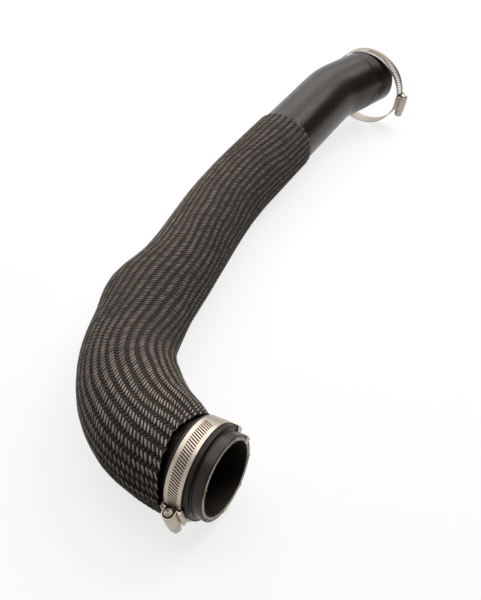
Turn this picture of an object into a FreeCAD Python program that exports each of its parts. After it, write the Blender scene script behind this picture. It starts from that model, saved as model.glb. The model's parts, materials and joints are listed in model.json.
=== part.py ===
import FreeCAD, Part
import math
import os

Vector = FreeCAD.Vector
Rotation = FreeCAD.Rotation
UP = Vector(0, 0, 1)
os.makedirs("parts", exist_ok=True)

# Centreline: straight legs from the lower mouth to the upper end, with headings measured from +Y towards +X
LOWER_HEADING = -90.0
BODY_LEG, BODY_HEADING, BODY_RISE = 289.6, -12.2, -0.4
STRAIGHT_LEG, STRAIGHT_HEADING, STRAIGHT_RISE = 211.1, 0.2, 5.0
UPPER_LEG, UPPER_LEG_HEADING = 69.0, 14.6
ELBOW_RADIUS = 104.0
BODY_RADIUS = 350.0
UPPER_RADIUS = 51.0

# Rubber hose
BORE_D = 51.0
HOSE_WALL = 4.1
LIP_LENGTH = 8.0
COLLAR_STEP = 3.0
COLLAR_CHAMFER = 0.8
LAND_FRONT = 3.7
LAND_BACK = 4.1
ELBOW_CLEARANCE = 1.5821
UPPER_LIP_LENGTH = 18.0
UPPER_LIP_STEP = 0.6
RIM_ROUND = 0.8

# Knitted sleeve
RIBS = 34
RIB_DEPTH = 1.0
SLEEVE_THICKNESS = 1.3
SLEEVE_GAP = 0.5
SLEEVE_END_GAP = 1.2
BARE_LENGTH = 172.5
ELBOW_SLACK, ELBOW_SLACK_AT, ELBOW_SLACK_SPAN = 7.2, 75.0, 85.0
BULGE, BULGE_AT, BULGE_SPAN = 4.6, 212.0, 36.0
GATHER, GATHER_SPAN = 1.8, 12.0
MOUTH_SHIFT, MOUTH_AT, MOUTH_SPAN = 3.5, 25.0, 14.0
INWARD_SHIFT, INWARD_AT, INWARD_SPAN = 4.8, 112.0, 52.0
OUTWARD_SHIFT, OUTWARD_AT, OUTWARD_SPAN = 5.2, 212.0, 32.0
UPRIGHT_SHARE = 0.5
ELBOW_TWIST, ELBOW_TWIST_FROM, ELBOW_TWIST_TO = 33.0, 100.0, 215.0
BODY_TWIST, BODY_TWIST_FROM, BODY_TWIST_TO = -12.0, 230.0, 370.0
END_TWIST, END_TWIST_FROM, END_TWIST_TO = 10.0, 375.0, 470.0
RAGGED = 1.6
SLACK_STEPS, BODY_STEPS = 17, 11

# Worm-drive clips
BAND_WIDTH = 12.7
BAND_THICKNESS = 0.8
SEAT_GAP = 0.05
RAMP_FROM, RAMP_TO = 290.0, 345.0
FIXED_END = -8.0
SLOTS = 34
SLOT_PITCH = 1.85
SLOT_WIDTH = 0.9
SLOT_LENGTH = 7.6
SLOT_SLANT = -22.0
SLOT_START = 9.0
HOUSING_LENGTH = 15.5
SHEET = 0.9
EAR_HEIGHT = 2.2
EAR_WIDTH = 1.85
EAR_CLEARANCE = 0.2
SCREW_D = 7.0
SCREW_CLEARANCE = 0.25
SCREW_NOSE = 0.6
SCREW_CHAMFER = 0.7
FLANGE_D = 8.8
FLANGE_LENGTH = 1.0
HEX_ACROSS = 7.0
HEX_LENGTH = 7.0
HEAD_SLOT = 1.2
RUNNING_GAP = 0.15
LOWER_CLIP_TAIL = 28.0
LOWER_HOUSING_DIP = 17.0
UPPER_CLIP_TAIL = 13.0
UPPER_HOUSING_DIP = 10.0
UPPER_CLIP_SLACK = 10.2
UPPER_CLIP_BACK = 7.5
UPPER_CLIP_HEADING, UPPER_CLIP_LEAN = 4.5, 0.5

# Hook that keeps the lower clip on the mouth
HOOK_AT = 26.0
HOOK_WIDTH = 6.0
HOOK_THICKNESS = 0.6
HOOK_OVER_BAND = 9.0

HOSE_R = BORE_D / 2 + HOSE_WALL
COLLAR_R = HOSE_R + COLLAR_STEP
UPPER_LIP_R = HOSE_R - UPPER_LIP_STEP
BAND_FRONT = LIP_LENGTH + LAND_FRONT
COLLAR_BACK = BAND_FRONT + BAND_WIDTH + LAND_BACK
SLEEVE_R = HOSE_R + SLEEVE_GAP + SLEEVE_THICKNESS
LOWER_BAND_R = COLLAR_R + SEAT_GAP
UPPER_BAND_R = HOSE_R + UPPER_CLIP_SLACK


class Run:
    """A straight stretch of the centreline."""

    def __init__(self, start, heading, up, length):
        self.start, self.heading, self.up, self.length = start, heading, up, length

    def at(self, distance):
        return self.start + self.heading * distance, self.heading, self.up

    def rod(self, radius):
        return Part.makeCylinder(radius, self.length, self.start, self.heading)


class Bend:
    """A circular stretch of the centreline, tangent to both neighbours."""

    def __init__(self, start, heading, up, normal, radius, angle):
        self.start, self.heading, self.up = start, heading, up
        self.axis, self.centre = heading.cross(normal), start + normal * radius
        self.radius, self.angle = radius, angle
        self.length = radius * math.radians(angle)

    def at(self, distance):
        turn = Rotation(self.axis, math.degrees(distance / self.radius))
        point = self.centre + turn.multVec(self.start - self.centre)
        return point, turn.multVec(self.heading), turn.multVec(self.up)

    def rod(self, radius):
        disc = Part.Face(Part.Wire(Part.makeCircle(radius, self.start, self.heading)))
        return disc.revolve(self.centre, self.axis, self.angle)


def unit(vector):
    return vector * (1 / vector.Length)


def rounded_line(corners, radii):
    """Straight runs between the corners, joined by tangent bends."""
    pieces, start, up = [], corners[0], UP
    heading = unit(corners[1] - corners[0])
    for corner, following, radius in zip(corners[1:], corners[2:], radii):
        leaving = unit(following - corner)
        angle = math.degrees(heading.getAngle(leaving))
        setback = radius * math.tan(math.radians(angle / 2))
        pieces.append(Run(start, heading, up, (corner - start).Length - setback))
        normal = unit(leaving - heading * heading.dot(leaving))
        bend = Bend(corner - heading * setback, heading, up, normal, radius, angle)
        pieces.append(bend)
        start, heading, up = bend.at(bend.length)
    pieces.append(Run(start, heading, up, (corners[-1] - start).Length))
    return pieces


def leg_direction(heading, rise=0):
    """Which way a straight leg points."""
    turn, climb = math.radians(heading), math.radians(rise)
    return Vector(math.sin(turn) * math.cos(climb), math.cos(turn) * math.cos(climb), math.sin(climb))


def leg_end(start, length, heading, rise=0):
    """The far end of a straight leg."""
    return start + leg_direction(heading, rise) * length


# The elbow starts just behind the collar, however wide its bend is
ELBOW_SWING = leg_direction(LOWER_HEADING).getAngle(leg_direction(BODY_HEADING, BODY_RISE))
LOWER_LEG = COLLAR_BACK + ELBOW_CLEARANCE + ELBOW_RADIUS * math.tan(ELBOW_SWING / 2)
LOWER_MOUTH = Vector(0, 0, 0)
ELBOW_CORNER = leg_end(LOWER_MOUTH, LOWER_LEG, LOWER_HEADING)
BODY_CORNER = leg_end(ELBOW_CORNER, BODY_LEG, BODY_HEADING, BODY_RISE)
UPPER_CORNER = leg_end(BODY_CORNER, STRAIGHT_LEG, STRAIGHT_HEADING, STRAIGHT_RISE)
UPPER_END = leg_end(UPPER_CORNER, UPPER_LEG, UPPER_LEG_HEADING)
CENTRELINE = rounded_line(
    [LOWER_MOUTH, ELBOW_CORNER, BODY_CORNER, UPPER_CORNER, UPPER_END],
    [ELBOW_RADIUS, BODY_RADIUS, UPPER_RADIUS])
HOSE_LENGTH = sum(piece.length for piece in CENTRELINE)
UPPER_HEADING = CENTRELINE[-1].heading


def along(distance):
    """Point, heading and upright direction at a distance from the lower mouth."""
    for piece in CENTRELINE:
        if distance <= piece.length or piece is CENTRELINE[-1]:
            return piece.at(distance)
        distance -= piece.length


def hose_stretch(pieces):
    """The hose's wall along neighbouring pieces of the centreline."""
    tubes = [piece.rod(HOSE_R).cut(piece.rod(BORE_D / 2)) for piece in pieces]
    return tubes[0].multiFuse(tubes[1:]).removeSplitter() if len(tubes) > 1 else tubes[0]


def ring_about_x(points):
    """A solid of revolution about the lower mouth's axis, from (distance behind mouth, radius) points."""
    outline = [Vector(-back, radius, 0) for back, radius in points]
    face = Part.Face(Part.makePolygon(outline + outline[:1]))
    return face.revolve(LOWER_MOUTH, Vector(1, 0, 0), 360)


def collar():
    inside = HOSE_R - HOSE_WALL / 2
    return ring_about_x([
        (LIP_LENGTH, inside), (LIP_LENGTH, COLLAR_R - COLLAR_CHAMFER),
        (LIP_LENGTH + COLLAR_CHAMFER, COLLAR_R), (COLLAR_BACK - COLLAR_STEP / 2, COLLAR_R),
        (COLLAR_BACK, HOSE_R), (COLLAR_BACK, inside)])


def upper_lip_cut():
    start = UPPER_END - UPPER_HEADING * UPPER_LIP_LENGTH
    outer = Part.makeCylinder(HOSE_R + COLLAR_STEP, 2 * UPPER_LIP_LENGTH, start, UPPER_HEADING)
    return outer.cut(Part.makeCylinder(UPPER_LIP_R, 2 * UPPER_LIP_LENGTH, start, UPPER_HEADING))


def rim_edges(solid, centre, radius):
    """Round edges of a given radius centred on a point."""
    return [edge for edge in solid.Edges
            if hasattr(edge.Curve, "Radius") and abs(edge.Curve.Radius - radius) < SEAT_GAP
            and (edge.Curve.Center - centre).Length < SEAT_GAP]


def rubber_hose():
    """The one moulding, in stretches that meet face to face so that each keeps a plain hollow."""
    lower_run, elbow, *body, upper_bend, upper_run = CENTRELINE
    lower_cuff = hose_stretch([lower_run]).fuse(collar()).removeSplitter()
    upper_cuff = hose_stretch([upper_run]).cut(upper_lip_cut())
    return {
        "hose_lower_cuff": lower_cuff.makeFillet(RIM_ROUND, rim_edges(lower_cuff, LOWER_MOUTH, HOSE_R)),
        "hose_elbow": hose_stretch([elbow]),
        "hose_body": hose_stretch(body),
        "hose_upper_bend": hose_stretch([upper_bend]),
        "hose_upper_cuff": upper_cuff.makeFillet(RIM_ROUND, rim_edges(upper_cuff, UPPER_END, UPPER_LIP_R)),
    }


def hump(distance, centre, span):
    return math.exp(-((distance - centre) / span) ** 2)


def sleeve_half_width(distance):
    slack = ELBOW_SLACK * hump(distance, ELBOW_SLACK_AT, ELBOW_SLACK_SPAN)
    slack += BULGE * hump(distance, BULGE_AT, BULGE_SPAN)
    return SLEEVE_R + slack - GATHER * hump(distance, COLLAR_BACK, GATHER_SPAN)


def sleeve_shift(distance):
    """How far the slack hangs to the outside of the elbow."""
    outward = OUTWARD_SHIFT * hump(distance, OUTWARD_AT, OUTWARD_SPAN)
    outward += MOUTH_SHIFT * hump(distance, MOUTH_AT, MOUTH_SPAN)
    return outward - INWARD_SHIFT * hump(distance, INWARD_AT, INWARD_SPAN)


def smooth_step(distance, start, end):
    share = min(1, max(0, (distance - start) / (end - start)))
    return share * share * (3 - 2 * share)


def rib_twist(distance):
    """How far the ribs have wound round the hose, in degrees."""
    twist = ELBOW_TWIST * smooth_step(distance, ELBOW_TWIST_FROM, ELBOW_TWIST_TO)
    twist += BODY_TWIST * smooth_step(distance, BODY_TWIST_FROM, BODY_TWIST_TO)
    return twist + END_TWIST * smooth_step(distance, END_TWIST_FROM, END_TWIST_TO)


def sleeve_point(distance, turn, inset):
    """A point of the sleeve at a share of a turn round it, a depth below the rib crests."""
    centre, heading, up = along(distance)
    half_width = sleeve_half_width(distance)
    half_height = SLEEVE_R + (half_width - SLEEVE_R) * UPRIGHT_SHARE
    angle = math.radians(360 * turn + rib_twist(distance))
    outward = up.cross(heading) * (sleeve_shift(distance) + (half_width - inset) * math.cos(angle))
    return centre + outward + up * ((half_height - inset) * math.sin(angle))


def fray(rib):
    """How far a rib's cut end stands out of line, the same on every build."""
    return RAGGED * math.sin(2.4 * rib) * math.cos(1.1 * rib)


def outer_ring(distance, frayed=0):
    """Crest and valley points of one section; a frayed end has each crest out of line."""
    points = []
    for rib in range(RIBS):
        points.append(sleeve_point(distance + frayed * fray(rib), rib / RIBS, 0))
        points.append(sleeve_point(distance, (rib + 0.5) / RIBS, RIB_DEPTH))
    return points


def inner_ring(distance):
    return [sleeve_point(distance, (rib + 0.5) / RIBS, SLEEVE_THICKNESS) for rib in range(RIBS)]


def closed_wire(points):
    return Part.makePolygon(points + points[:1])


def triangle(*points):
    return Part.Face(closed_wire(list(points)))


def end_strip(outer, inner):
    """Faces that close the cut edge of the sleeve between its outside and its lining."""
    faces = []
    for rib in range(RIBS):
        crest, valley, before = outer[2 * rib], outer[2 * rib + 1], outer[2 * rib - 1]
        faces.append(triangle(before, crest, inner[rib - 1]))
        faces.append(triangle(crest, valley, inner[rib]))
        faces.append(triangle(crest, inner[rib], inner[rib - 1]))
    return faces


def skin(rings):
    """Faces between neighbouring rings of points."""
    faces = []
    for ring, following in zip(rings, rings[1:]):
        for index in range(len(ring)):
            faces.append(triangle(ring[index - 1], ring[index], following[index]))
            faces.append(triangle(ring[index - 1], following[index], following[index - 1]))
    return faces


def stations(first, last, steps):
    return [first + (last - first) * step / steps for step in range(steps + 1)]


def knitted_sleeve():
    first, last = COLLAR_BACK + SLEEVE_END_GAP, HOSE_LENGTH - BARE_LENGTH
    slack_end = OUTWARD_AT + 2 * OUTWARD_SPAN
    places = stations(first, slack_end, SLACK_STEPS)[:-1] + stations(slack_end, last, BODY_STEPS)
    outer = [outer_ring(place, frayed=place in (first, last)) for place in places]
    inner = [inner_ring(place) for place in places]
    faces = skin(outer) + skin(inner)
    faces += end_strip(outer[0], inner[0]) + end_strip(outer[-1], inner[-1])
    shell = Part.Shell(faces)
    shell.sewShape()
    solid = Part.Solid(shell)
    if solid.Volume < 0:
        solid.reverse()
    return solid


def polar(radius, degrees):
    angle = math.radians(degrees)
    return Vector(radius * math.cos(angle), radius * math.sin(angle), 0)


def arc_between(radius_from, radius_to, angle_from, angle_to):
    middle = polar((radius_from + radius_to) / 2, (angle_from + angle_to) / 2)
    return Part.Arc(polar(radius_from, angle_from), middle, polar(radius_to, angle_to)).toShape()


def strip_edges(radius, tail):
    """One side of the band: round the hose, up a ramp, and over its own fixed end."""
    lapped = radius + BAND_THICKNESS + SEAT_GAP
    return [
        arc_between(radius, radius, FIXED_END, RAMP_FROM),
        arc_between(radius, lapped, RAMP_FROM, RAMP_TO),
        arc_between(lapped, lapped, RAMP_TO, 360 + tail)]


def slot_cutter(angle, radius):
    depth = 8 * BAND_THICKNESS
    box = Part.makeBox(depth, SLOT_WIDTH, SLOT_LENGTH,
                       Vector(-depth / 2, -SLOT_WIDTH / 2, -SLOT_LENGTH / 2))
    box.Placement = FreeCAD.Placement(polar(radius, angle), Rotation(Vector(0, 0, 1), angle)
                                      .multiply(Rotation(Vector(1, 0, 0), SLOT_SLANT)))
    return box


def clip_band(radius, tail):
    """Slotted strip about the local Z axis, with the housing's place on +X."""
    inner = strip_edges(radius, tail)
    outer = strip_edges(radius + BAND_THICKNESS, tail)
    ends = [Part.makeLine(inner[0].valueAt(inner[0].FirstParameter), outer[0].valueAt(outer[0].FirstParameter)),
            Part.makeLine(inner[-1].valueAt(inner[-1].LastParameter), outer[-1].valueAt(outer[-1].LastParameter))]
    face = Part.Face(Part.Wire(Part.__sortEdges__(inner + outer + ends)))
    strip = face.extrude(Vector(0, 0, BAND_WIDTH))
    strip.translate(Vector(0, 0, -BAND_WIDTH / 2))
    pitch = math.degrees(SLOT_PITCH / radius)
    start = math.degrees(SLOT_START / radius)
    slots = [slot_cutter(-start - pitch * index, radius) for index in range(SLOTS)]
    return strip.cut(Part.makeCompound(slots))


def housing_floor(radius):
    return radius + 2 * BAND_THICKNESS + 2 * SEAT_GAP


def screw_height(radius):
    return housing_floor(radius) + RUNNING_GAP + SCREW_D / 2


def arch(half_span, height, flip):
    """A half-round over the screw, from one foot to the other."""
    side = -half_span if flip else half_span
    top = Vector(height + half_span, 0, 0)
    return Part.Arc(Vector(height, 0, side), top, Vector(height, 0, -side)).toShape()


def clip_housing(radius):
    """Pressed tunnel over the screw, with a folded ear on each side of the band."""
    floor, axis = housing_floor(radius), screw_height(radius)
    inside = SCREW_D / 2 + SCREW_CLEARANCE
    outside = inside + SHEET
    ear_in = BAND_WIDTH / 2 + EAR_CLEARANCE
    ear_out = ear_in + SHEET
    lug = ear_out - EAR_WIDTH
    foot = radius + SEAT_GAP
    side = [
        (floor, inside), (floor, ear_in), (foot, ear_in), (foot, ear_out), (floor + EAR_HEIGHT, ear_out),
        (floor + EAR_HEIGHT, lug), (floor + SHEET, lug), (floor + SHEET, outside)]
    right = [Vector(axis, 0, inside)] + [Vector(x, 0, z) for x, z in side] + [Vector(axis, 0, outside)]
    left = [Vector(point.x, 0, -point.z) for point in right]
    edges = Part.makePolygon(right).Edges + Part.makePolygon(left).Edges
    edges += [arch(inside, axis, False), arch(outside, axis, True)]
    face = Part.Face(Part.Wire(Part.__sortEdges__(edges)))
    housing = face.extrude(Vector(0, HOUSING_LENGTH, 0))
    housing.translate(Vector(0, -HOUSING_LENGTH / 2, 0))
    return housing


def turned(points):
    """A solid of revolution about local Y, from (distance along Y, radius) points."""
    outline = [Vector(radius, place, 0) for place, radius in points]
    face = Part.Face(Part.makePolygon(outline + outline[:1]))
    return face.revolve(Vector(0, 0, 0), Vector(0, 1, 0), 360)


def hex_bar(across, length, start):
    corner = across / math.sqrt(3)
    points = [Vector(corner * math.cos(math.radians(60 * side)), start, corner * math.sin(math.radians(60 * side)))
              for side in range(6)]
    return Part.Face(closed_wire(points)).extrude(Vector(0, length, 0))


def clip_screw(radius):
    """Worm with a chamfered nose, a flange and a slotted hex head, along local Y."""
    half, nose = HOUSING_LENGTH / 2, HOUSING_LENGTH / 2 + SCREW_NOSE
    shaft, flange = SCREW_D / 2, FLANGE_D / 2
    seat = half + RUNNING_GAP
    end = seat + FLANGE_LENGTH + HEX_LENGTH
    body = turned([
        (-nose, 0), (-nose, shaft - SCREW_CHAMFER), (SCREW_CHAMFER - nose, shaft), (seat, shaft),
        (seat, flange), (seat + FLANGE_LENGTH, flange), (seat + FLANGE_LENGTH, 0)])
    head = hex_bar(HEX_ACROSS, HEX_LENGTH, seat + FLANGE_LENGTH)
    corner = HEX_ACROSS / math.sqrt(3)
    bevel = turned([
        (seat, 0), (seat, corner), (end - SCREW_CHAMFER, corner), (end, HEX_ACROSS / 2), (end, 0)])
    slot = Part.makeBox(2 * HEX_ACROSS, HEAD_SLOT, HEAD_SLOT, Vector(-HEX_ACROSS, end - HEAD_SLOT, -HEAD_SLOT / 2))
    screw = body.fuse(head.common(bevel)).cut(slot)
    screw.translate(Vector(screw_height(radius), 0, 0))
    return screw


def clip_pieces(radius, tail, centre, axis, outward):
    """Band, housing and screw of one clip, set on its ring axis with the housing outward."""
    turn = Rotation(outward, axis.cross(outward), axis, "ZXY")
    pieces = [clip_band(radius, tail), clip_housing(radius), clip_screw(radius)]
    for piece in pieces:
        piece.Placement = FreeCAD.Placement(centre, turn).multiply(piece.Placement)
    return pieces


def lower_clip():
    centre = LOWER_MOUTH - Vector(BAND_FRONT + BAND_WIDTH / 2, 0, 0)
    dip = math.radians(LOWER_HOUSING_DIP)
    outward = Vector(0, -math.cos(dip), -math.sin(dip))
    return clip_pieces(LOWER_BAND_R, LOWER_CLIP_TAIL, centre, Vector(1, 0, 0), outward)


def upper_clip_axes():
    """Ring axis, and its level and upright directions, as the loose clip hangs."""
    heading, lean = math.radians(UPPER_CLIP_HEADING), math.radians(UPPER_CLIP_LEAN)
    axis = Vector(math.sin(heading) * math.cos(lean), math.cos(heading) * math.cos(lean), math.sin(lean))
    level = unit(axis.cross(UP))
    return axis, level, level.cross(axis)


def clearance_over_hose(centre):
    """Least gap between the loose band's inner edges and the upper end of the hose."""
    axis, level, upright = upper_clip_axes()
    gaps = []
    for degrees in range(30, 151, 2):
        for edge in (-BAND_WIDTH / 2, BAND_WIDTH / 2):
            spoke = polar(UPPER_BAND_R, degrees)
            point = centre + axis * edge + level * spoke.x + upright * spoke.y - UPPER_END
            back = -point.dot(UPPER_HEADING)
            if back > 0:
                radius = UPPER_LIP_R if back < UPPER_LIP_LENGTH else HOSE_R
                gaps.append((point + UPPER_HEADING * back).Length - radius)
    return min(gaps)


def hanging_centre():
    """Where the loose ring's centre comes to rest below the hose's axis."""
    start = UPPER_END - UPPER_HEADING * UPPER_CLIP_BACK
    low, high = 0.0, 2 * UPPER_CLIP_SLACK
    while high - low > SEAT_GAP / 100:
        drop = (low + high) / 2
        if clearance_over_hose(start - UP * drop) > SEAT_GAP:
            low = drop
        else:
            high = drop
    return start - UP * low


def upper_clip():
    axis, level, upright = upper_clip_axes()
    dip = math.radians(UPPER_HOUSING_DIP)
    outward = level * math.cos(dip) - upright * math.sin(dip)
    return clip_pieces(UPPER_BAND_R, UPPER_CLIP_TAIL, hanging_centre(), axis, outward)


def lower_clip_retaining_hook():
    """Bent strip from the band, over the lip and down the mouth's face."""
    over_band = LOWER_BAND_R + BAND_THICKNESS + SEAT_GAP
    over_lip = HOSE_R + SEAT_GAP
    face, front = SEAT_GAP, SEAT_GAP + HOOK_THICKNESS
    step = LIP_LENGTH - SEAT_GAP
    under = [
        (-BAND_FRONT - HOOK_OVER_BAND, over_band), (-step, over_band), (-step + HOOK_THICKNESS, over_lip),
        (face, over_lip), (face, BORE_D / 2 + SEAT_GAP)]
    over = [
        (front, BORE_D / 2 + SEAT_GAP), (front, over_lip + HOOK_THICKNESS),
        (-step + 2 * HOOK_THICKNESS, over_lip + HOOK_THICKNESS),
        (-step + HOOK_THICKNESS, over_band + HOOK_THICKNESS),
        (-BAND_FRONT - HOOK_OVER_BAND, over_band + HOOK_THICKNESS)]
    outline = [Vector(x, radius, -HOOK_WIDTH / 2) for x, radius in under + over]
    hook = Part.Face(closed_wire(outline)).extrude(Vector(0, 0, HOOK_WIDTH))
    hook.rotate(LOWER_MOUTH, Vector(1, 0, 0), HOOK_AT)
    return hook


def main():
    lower = lower_clip()
    upper = upper_clip()
    pieces = {
        **rubber_hose(),
        "knitted_sleeve": knitted_sleeve(),
        "lower_clip_band": lower[0],
        "lower_clip_housing": lower[1],
        "lower_clip_screw": lower[2],
        "lower_clip_retaining_hook": lower_clip_retaining_hook(),
        "upper_clip_band": upper[0],
        "upper_clip_housing": upper[1],
        "upper_clip_screw": upper[2],
    }
    for name, shape in pieces.items():
        shape.exportStep("parts/" + name + ".step")


main()
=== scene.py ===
import json
import math

import bmesh
import bpy
import numpy as np
from bpy.props import FloatProperty, FloatVectorProperty, IntProperty, PointerProperty
from mathutils import Matrix, Vector


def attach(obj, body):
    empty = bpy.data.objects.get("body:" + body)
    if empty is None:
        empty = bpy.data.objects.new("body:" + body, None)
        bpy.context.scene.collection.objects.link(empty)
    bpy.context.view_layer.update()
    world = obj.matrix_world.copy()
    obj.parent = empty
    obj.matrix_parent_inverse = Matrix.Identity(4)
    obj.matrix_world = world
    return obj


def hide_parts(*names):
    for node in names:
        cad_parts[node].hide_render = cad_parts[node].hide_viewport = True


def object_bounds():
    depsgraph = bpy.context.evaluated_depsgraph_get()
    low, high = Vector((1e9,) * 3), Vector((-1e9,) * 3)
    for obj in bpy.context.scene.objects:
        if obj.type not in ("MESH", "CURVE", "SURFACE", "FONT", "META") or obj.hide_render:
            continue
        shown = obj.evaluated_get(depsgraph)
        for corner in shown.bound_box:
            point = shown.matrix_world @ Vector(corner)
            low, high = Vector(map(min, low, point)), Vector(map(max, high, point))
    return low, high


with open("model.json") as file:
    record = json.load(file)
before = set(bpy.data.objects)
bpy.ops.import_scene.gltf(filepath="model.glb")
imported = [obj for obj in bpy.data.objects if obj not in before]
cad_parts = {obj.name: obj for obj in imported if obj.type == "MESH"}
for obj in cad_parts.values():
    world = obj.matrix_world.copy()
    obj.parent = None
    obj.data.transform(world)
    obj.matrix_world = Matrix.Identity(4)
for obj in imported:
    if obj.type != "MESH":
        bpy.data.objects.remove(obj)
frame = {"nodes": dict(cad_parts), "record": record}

bl_info = {
    "name": "Charge air hose",
    "version": (1, 0, 0),
    "blender": (4, 5, 0),
    "location": "3D View > Sidebar > Hose",
    "description": "Moulded rubber hose with a ribbed knitted sleeve and two worm-drive clips",
    "category": "Object",
}

CAD_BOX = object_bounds()
MM = 0.001
FULL_TURN = 2 * math.pi
UPWARD = (0.0, 0.0, 1.0)
WHITE = (1.0, 1.0, 1.0, 1.0)
WARM = (1.0, 0.87, 0.77, 1.0)
FUZZ = {"Sheen Weight": 0.25, "Sheen Roughness": 0.4, "Sheen Tint": (0.8, 0.7, 0.6, 1.0)}
HOSE_NODES = ("hose_lower_cuff", "hose_elbow", "hose_body", "hose_upper_bend", "hose_upper_cuff")
CLIP_ENDS = ("lower", "upper")
# Zones of the hose's surface, in the order of its materials
WRAPPED, LIP, COLLAR, BORE, CUT_RIM, UPPER_LIP = range(6)

# Humps along the hose as (height, place, span) in mm: the sleeve's slack, its shift outwards and its creases
WIDTH_HUMPS = ((7.2, 75.0, 85.0), (4.6, 212.0, 36.0), (-1.8, 28.5, 12.0))
SHIFT_HUMPS = ((5.2, 212.0, 32.0), (3.5, 25.0, 14.0), (-4.8, 112.0, 52.0))
FOLD_HUMPS = ((4.6, 44.0, 26.0), (1.6, 105.0, 60.0), (0.7, 300.0, 160.0))
# Winding of the ribs as (degrees, from, to) along the hose, in mm
TWISTS = ((33.0, 100.0, 215.0), (-12.0, 230.0, 370.0), (10.0, 375.0, 470.0))
# Yarn painted lighter or darker on one side, as (tone, place in mm, span in mm, degrees round the hose): painted
# light on the upper side near the elbow and painted shade on the right of the body
PAINTED_SIDE_TONES = ((0.5, 72.0, 48.0, 125.0), (-0.45, 330.0, 130.0, 165.0))
# Cloth stretched flat, with painted sheen on that side: its side in degrees round the hose, and where along it that
# sets in, in mm
SHEEN_STRETCH_SIDE, SHEEN_STRETCH_SPAN = 35.0, (120.0, 180.0)
# The lower edge is drawn back about one side and down about another, in degrees, over a length in mm
DRAWN_BACK_SIDE, DRAWN_DOWN_SIDE, DRAWN_SPAN = 80.0, -10.0, 22.0
# The cut edges are ragged over a length in mm, in so many waves round the sleeve, by so many times their stray
RAGGED_SPAN, RAGGED_WAVES, RAGGED_REACH = 5.0, 40.0, 2.6
# Furthest that a crease may stand out of the sleeve
FOLD_LIMIT = -0.5 * MM
# Faces of the cloth across a rib, its rows, and the share of them on its outside; the rest line it
RIB_FACES, CLOTH_ROWS, OUTSIDE_SHARE = 8, 330, 0.86
# Stitches by piece: share of a rib they are set over, side they lean to, depth in mm, length and width
# as shares of a rib and of the pitch, height as a share, seed, and tone where the cloth is stretched, partly painted
# sheen
STITCHES = {"rib_stitches": (0.0, 1, -0.05, 0.82, 0.43, 1.0, 3, -0.4),
            "valley_stitches": (0.5, -1, 0.65, 0.50, 0.36, 0.7, 5, 1.3)}
# Length over which a bend sets in either way, and over which the wrap lines run out, in mm
EASE, WRAP_RUN_OUT = 9.0, 60.0
# Tufts of fibre, in degrees round the lower mouth
FIBRE_PLACES = (64.0, 150.0, 160.0, 216.0, 267.0, 309.0, 352.0)
# Edges sharper than this stay crisp
CREASE = math.radians(34)

# Where gloss and metal look into the unlit side of the room, and where that sets in on the sky and the floor
DARK_SIDE, SKY_DUSK, FLOOR_DUSK = (0.867, -0.108, 0.487), (-0.1, 0.4), (0.08, 0.34)
# The floor's middle, the distances over which it runs out to white, and its share of bounced light
FLOOR_MIDDLE, FLOOR_FADE, FLOOR_BOUNCE = (-0.1, 0.27, 0.0), (0.45, 1.1), 0.35
# The floor's reach, the radius of its rise behind, and the way it faces
FLOOR_REACH, FLOOR_RISE = 3.0, 1.2
FLOOR_HEADING, FLOOR_SIDE = Vector((-0.515, 0.857, 0.0)), Vector((0.857, 0.515, 0.0))
# Lamps as (place, what they aim at, width)
OVERHEAD_LAMP = ((-0.34, 0.58, 1.15), (-0.12, 0.25, 0.0), 2.3)
BACK_LAMP = ((0.26, 0.92, 0.90), (-0.14, 0.36, 0.0), 0.6)


def length(name, millimetres, description):
    return FloatProperty(name=name, description=description, default=millimetres * MM,
                         unit="LENGTH", subtype="DISTANCE", precision=5)


def angle(name, degrees, description):
    return FloatProperty(name=name, description=description, default=math.radians(degrees),
                         unit="ROTATION", subtype="ANGLE")


def share(name, value, description):
    return FloatProperty(name=name, description=description, default=value, min=0, max=1, subtype="FACTOR")


def count(name, number, description):
    return IntProperty(name=name, description=description, default=number, min=1)


def power(name, watts, description):
    return FloatProperty(name=name, description=description, default=watts, unit="POWER")


def colour(name, red, green, blue, description):
    return FloatVectorProperty(name=name, description=description, default=(red, green, blue),
                               size=3, min=0, max=1, subtype="COLOR")


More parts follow.
